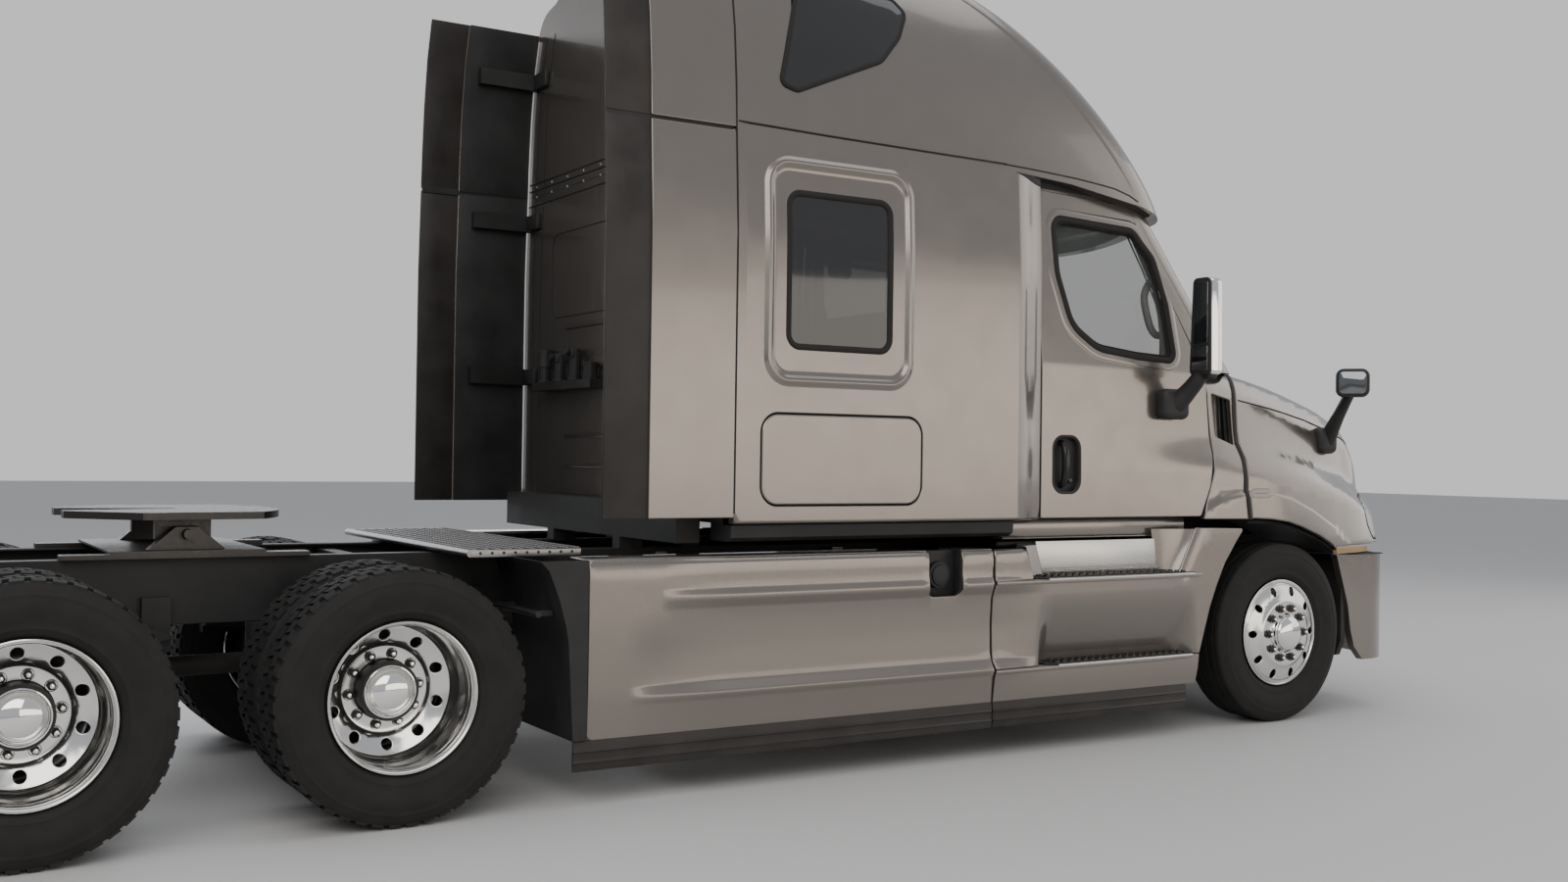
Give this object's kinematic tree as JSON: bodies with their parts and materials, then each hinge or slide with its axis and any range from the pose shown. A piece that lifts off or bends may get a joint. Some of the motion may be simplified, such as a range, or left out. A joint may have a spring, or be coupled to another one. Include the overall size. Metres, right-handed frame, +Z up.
{
  "type": "semi truck tractor unit",
  "caption": "Long-bonnet road tractor unit with a raised-roof sleeper, tandem drive axles, full side fairings and a fifth wheel coupling.",
  "frame": {"origin": "on the ground, at the middle of the truck's footprint box", "axes": "+X forward to the front bumper, +Y to the truck's left side, +Z up"},
  "size_m": [8.5, 2.81, 3.96],
  "materials": {
    "paint": "metallic, polished",
    "chassis_black": "satin",
    "black_plastic": "grained",
    "rubber": "matte",
    "tyre": "matte",
    "aluminium": "polished",
    "cast_iron": "rough",
    "steel": "greased",
    "clear_glass": "clear",
    "dark_glass": "tinted",
    "lamp_glass": "clear",
    "trim_grey": "grained",
    "fabric": "woven"
  },
  "bodies": {
    "chassis": {"bunk": "fabric", "cab_floor": "chassis_black", "cab_frame": "paint", "chassis_boxes": "chassis_black", "crossmembers": "chassis_black", "dashboard": "trim_grey", "deck_plate": "aluminium", "drive_axles": "chassis_black", "driveline": "cast_iron", "engine_block": "cast_iron", "fifth_wheel_base": "steel", "frame_rails": "chassis_black", "front_axle_beam": "cast_iron", "front_bumper": "paint", "front_springs": "cast_iron", "fuel_tanks": "aluminium", "mudguards": "black_plastic", "radiator": "aluminium", "rear_lamp_bar": "chassis_black", "rear_suspension": "chassis_black", "roof_fairing": "paint", "rubber_edges": "rubber", "seats": "fabric", "side_extenders": "paint", "sleeper_glass": "dark_glass", "sleeper_rear_wall": "paint", "sleeper_sides": "paint", "steering_wheel": "trim_grey", "step_fairings": "paint", "step_treads": "aluminium", "tank_fairings": "paint", "windshield": "clear_glass"},
    "hood": {"hood": "paint", "grille": "black_plastic", "headlamps": "lamp_glass", "hood_mirrors": "black_plastic"},
    "door_left": {"door_left": "paint", "door_glass_left": "clear_glass", "door_mirror_left": "black_plastic"},
    "door_right": {"door_right": "paint", "door_glass_right": "clear_glass", "door_mirror_right": "black_plastic"},
    "luggage_door_left": {"luggage_door_left": "paint"},
    "luggage_door_right": {"luggage_door_right": "paint"},
    "knuckle_left": {"knuckle_left": "cast_iron"},
    "knuckle_right": {"knuckle_right": "cast_iron"},
    "tie_rod": {"tie_rod": "cast_iron"},
    "front_wheel_left": {"front_tyre_left": "tyre", "front_wheel_left": "aluminium"},
    "front_wheel_right": {"front_tyre_right": "tyre", "front_wheel_right": "aluminium"},
    "drive_wheels_front_left": {"drive_tyres_front_left": "tyre", "drive_wheel_front_left": "aluminium"},
    "drive_wheels_front_right": {"drive_tyres_front_right": "tyre", "drive_wheel_front_right": "aluminium"},
    "drive_wheels_rear_left": {"drive_tyres_rear_left": "tyre", "drive_wheel_rear_left": "aluminium"},
    "drive_wheels_rear_right": {"drive_tyres_rear_right": "tyre", "drive_wheel_rear_right": "aluminium"},
    "fifth_wheel": {"fifth_wheel_plate": "steel"}
  },
  "joints": [
    {"name": "steer_left", "type": "hinge", "parent": "chassis", "child": "knuckle_left", "pos_m": [2.98, 0.88, 0.505], "axis": [0, 0, 1], "range_deg": [-40, 40]},
    {"name": "steer_right", "type": "hinge", "parent": "chassis", "child": "knuckle_right", "pos_m": [2.98, -0.88, 0.505], "axis": [0, 0, 1], "range_deg": [-40, 40]},
    {"name": "tie_rod_pivot", "type": "hinge", "parent": "knuckle_left", "child": "tie_rod", "pos_m": [2.74, 0.88, 0.378], "axis": [0, 0, 1], "range_deg": [-40, 40]},
    {"name": "front_wheel_spin_left", "type": "hinge", "parent": "knuckle_left", "child": "front_wheel_left", "pos_m": [2.98, 1.04, 0.505], "axis": [0, 1, 0], "continuous": true},
    {"name": "front_wheel_spin_right", "type": "hinge", "parent": "knuckle_right", "child": "front_wheel_right", "pos_m": [2.98, -1.04, 0.505], "axis": [0, 1, 0], "continuous": true},
    {"name": "drive_wheel_spin_front_left", "type": "hinge", "parent": "chassis", "child": "drive_wheels_front_left", "pos_m": [-2.09, 0.9, 0.505], "axis": [0, 1, 0], "continuous": true},
    {"name": "drive_wheel_spin_front_right", "type": "hinge", "parent": "chassis", "child": "drive_wheels_front_right", "pos_m": [-2.09, -0.9, 0.505], "axis": [0, 1, 0], "continuous": true},
    {"name": "drive_wheel_spin_rear_left", "type": "hinge", "parent": "chassis", "child": "drive_wheels_rear_left", "pos_m": [-3.411, 0.9, 0.505], "axis": [0, 1, 0], "continuous": true},
    {"name": "drive_wheel_spin_rear_right", "type": "hinge", "parent": "chassis", "child": "drive_wheels_rear_right", "pos_m": [-3.411, -0.9, 0.505], "axis": [0, 1, 0], "continuous": true},
    {"name": "door_left_hinge", "type": "hinge", "parent": "chassis", "child": "door_left", "pos_m": [2.424, 1.18, 1.8], "axis": [0, 0, -1], "range_deg": [0, 70]},
    {"name": "door_right_hinge", "type": "hinge", "parent": "chassis", "child": "door_right", "pos_m": [2.424, -1.18, 1.8], "axis": [0, 0, 1], "range_deg": [0, 70]},
    {"name": "luggage_door_left_hinge", "type": "hinge", "parent": "chassis", "child": "luggage_door_left", "pos_m": [-0.065, 1.221, 1.652], "axis": [1, 0, 0], "range_deg": [0, 80]},
    {"name": "luggage_door_right_hinge", "type": "hinge", "parent": "chassis", "child": "luggage_door_right", "pos_m": [-0.065, -1.221, 1.652], "axis": [-1, 0, 0], "range_deg": [0, 80]},
    {"name": "hood_tilt", "type": "hinge", "parent": "chassis", "child": "hood", "pos_m": [4.18, 0, 0.965], "axis": [0, 1, 0], "range_deg": [0, 75]},
    {"name": "fifth_wheel_tilt", "type": "hinge", "parent": "chassis", "child": "fifth_wheel", "pos_m": [-2.75, 0, 1.11], "axis": [0, 1, 0], "range_deg": [-10, 10]}
  ],
  "couplings": [
    {"joint": "steer_right", "follows": "steer_left", "ratio": 1},
    {"joint": "tie_rod_pivot", "follows": "steer_left", "ratio": -1}
  ]
}
